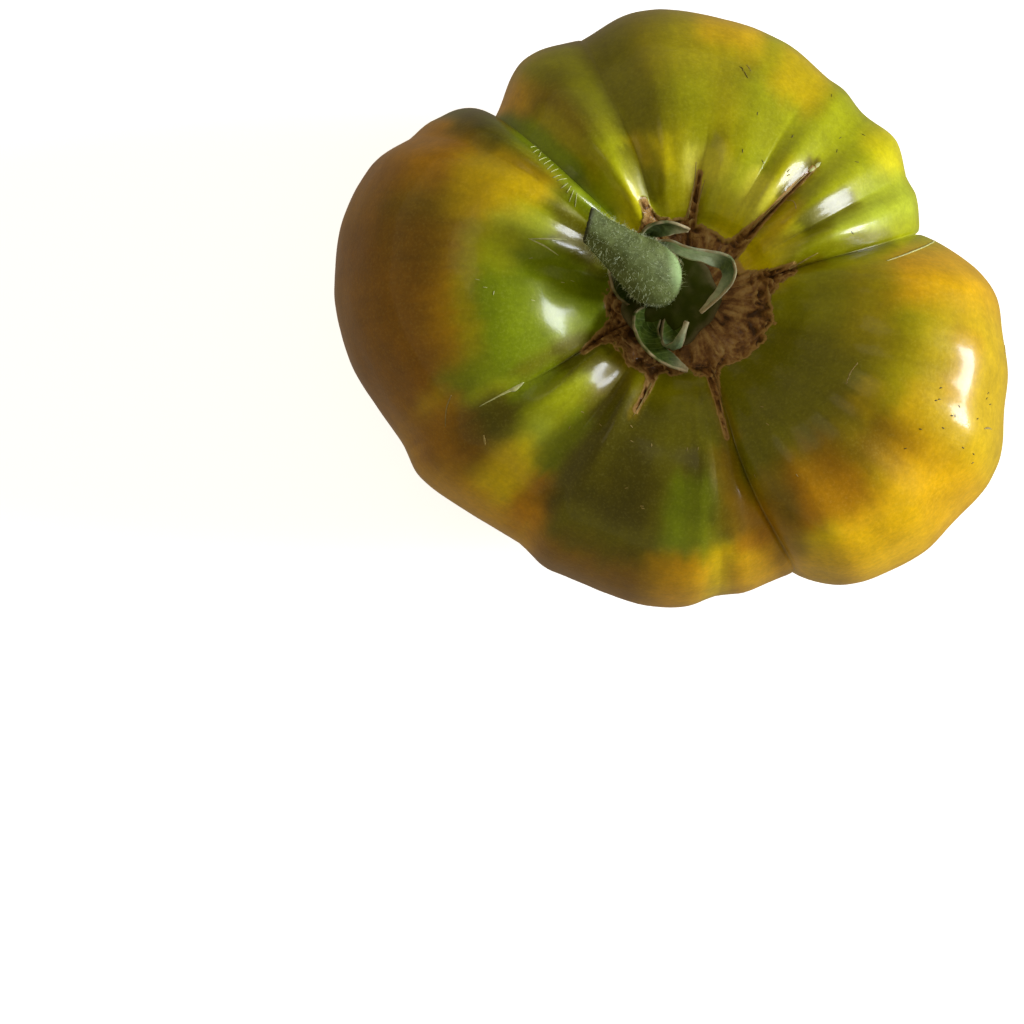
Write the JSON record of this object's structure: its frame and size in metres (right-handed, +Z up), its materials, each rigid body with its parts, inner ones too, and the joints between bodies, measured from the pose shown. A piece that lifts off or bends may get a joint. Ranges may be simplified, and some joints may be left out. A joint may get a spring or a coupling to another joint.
{
  "type": "tomato",
  "caption": "Ribbed beefsteak tomato, as picked, with deep folds running down from its corky stem scar, a curled green calyx and a bent stub of stem.",
  "frame": {"origin": "middle of the flat spot that the fruit rests on, straight below the middle of its stem scar", "axes": "+Z up out of the stem scar, +X along the fruit's longest extent, towards its largest lobe"},
  "size_m": [0.1077, 0.0961, 0.0727],
  "materials": {
    "skin": "waxy tomato skin, green at the shoulders and yellow-orange on the flanks",
    "calyx": "soft green leaf, slightly hairy",
    "stem": "soft green stem, covered in short hairs"
  },
  "bodies": {
    "root": {"fruit": "skin", "calyx": "calyx", "stem": "stem"}
  },
  "joints": []
}
